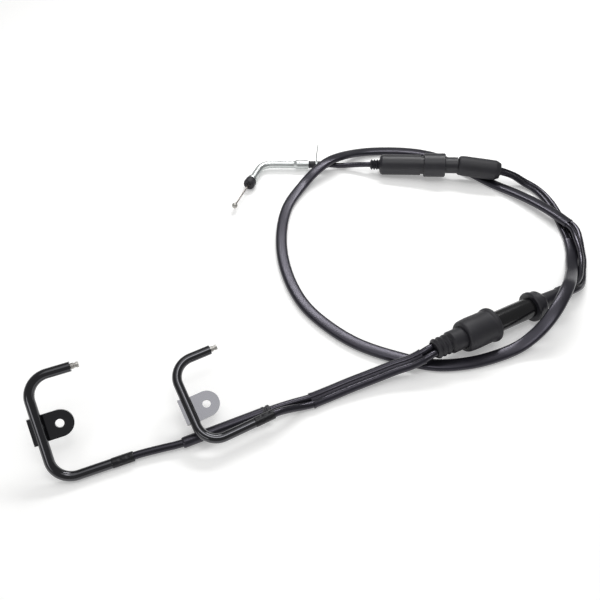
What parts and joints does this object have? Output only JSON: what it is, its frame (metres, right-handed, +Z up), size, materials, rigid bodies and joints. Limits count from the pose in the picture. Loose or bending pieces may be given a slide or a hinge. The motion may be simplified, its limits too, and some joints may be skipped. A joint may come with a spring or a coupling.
{
  "type": "throttle cable",
  "caption": "Scooter throttle cable assembly: a swivelling grip elbow, a splitter, a junction and two bent carburettor pipes with brackets, joined by black conduits.",
  "frame": {"origin": "the middle of the bottom of the rigid pieces' bounding box, where the assembly lies on a flat surface", "axes": "+X along the longest side, from the carburettor pipes to the loop's outer end; +Y from the pipes towards the grip elbow; +Z up from the surface it lies on"},
  "size_m": [0.4134, 0.3556, 0.0545],
  "materials": {
    "rubber": "matt black moulded rubber",
    "conduit_jacket": "satin charcoal extruded PVC jacket",
    "vinyl_sleeve": "satin charcoal vinyl sleeving",
    "moulded_plastic": "fine-grained black nylon",
    "gloss_tube": "smooth black acetal",
    "slider_nylon": "natural nylon",
    "zinc_plate": "bright zinc-plated steel",
    "wire_strand": "stranded galvanised steel wire",
    "die_cast_zinc": "die-cast zinc",
    "black_paint": "gloss black electrocoat on steel",
    "black_ferrule": "black crimped steel"
  },
  "bodies": {
    "root": {"swivel_spigot": "zinc_plate", "swivel_seal": "rubber", "clip_ring": "zinc_plate", "lead_ferrule": "black_ferrule", "lead_conduit": "conduit_jacket", "inlet_boot": "rubber", "splitter_body": "moulded_plastic", "splitter_ring": "moulded_plastic", "splitter_neck": "moulded_plastic", "outlet_boot": "rubber", "twin_conduit_a": "conduit_jacket", "twin_conduit_b": "conduit_jacket", "loop_sleeve": "vinyl_sleeve", "tail_conduit_a": "conduit_jacket", "tail_conduit_b": "conduit_jacket", "right_bellows": "rubber", "junction_cap": "moulded_plastic", "junction_tube": "gloss_tube", "main_boot": "rubber", "junction_plug": "rubber", "left_bellows": "rubber", "stub_conduits": "conduit_jacket", "pair_sleeve": "vinyl_sleeve", "branch_conduit_a": "conduit_jacket", "branch_conduit_b": "conduit_jacket", "guide_collar": "moulded_plastic", "guide_tube": "vinyl_sleeve", "crimp_a": "black_ferrule", "crimp_b": "black_ferrule", "pipe_a": "black_paint", "pipe_b": "black_paint", "bracket_a": "black_paint", "bracket_b": "black_paint"},
    "elbow": {"elbow_pipe": "zinc_plate", "dust_cap": "rubber"},
    "pull": {"pull_wire": "wire_strand", "pull_nipple": "die_cast_zinc"},
    "splitter_shuttle": {"splitter_slider": "slider_nylon", "splitter_wires": "wire_strand"},
    "junction_shuttle": {"junction_slider": "slider_nylon", "junction_wires": "wire_strand"},
    "end_a": {"end_wire_a": "wire_strand", "end_nipple_a": "die_cast_zinc"},
    "end_b": {"end_wire_b": "wire_strand", "end_nipple_b": "die_cast_zinc"}
  },
  "joints": [
    {"name": "elbow_swivel", "type": "hinge", "parent": "root", "child": "elbow", "pos_m": [-0.018, 0.16, 0.006], "axis": [1, 0, 0], "continuous": true},
    {"name": "throttle_pull", "type": "slide", "parent": "elbow", "child": "pull", "axis": [0.342, 0.9397, 0], "range_m": [0, 0.015]},
    {"name": "splitter_slide", "type": "slide", "parent": "root", "child": "splitter_shuttle", "axis": [0.988, -0.1301, 0.0837], "range_m": [0, 0.015]},
    {"name": "junction_slide", "type": "slide", "parent": "root", "child": "junction_shuttle", "axis": [-0.8832, -0.4676, 0.0349], "range_m": [0, 0.015]},
    {"name": "end_a_slide", "type": "slide", "parent": "root", "child": "end_a", "axis": [0.9304, 0.3665, 0], "range_m": [0, 0.015]},
    {"name": "end_b_slide", "type": "slide", "parent": "root", "child": "end_b", "axis": [0.8788, 0.4772, 0], "range_m": [0, 0.015]}
  ],
  "couplings": [
    {"joint": "splitter_slide", "follows": "throttle_pull", "ratio": 1},
    {"joint": "junction_slide", "follows": "throttle_pull", "ratio": 1},
    {"joint": "end_a_slide", "follows": "throttle_pull", "ratio": 1},
    {"joint": "end_b_slide", "follows": "throttle_pull", "ratio": 1}
  ]
}
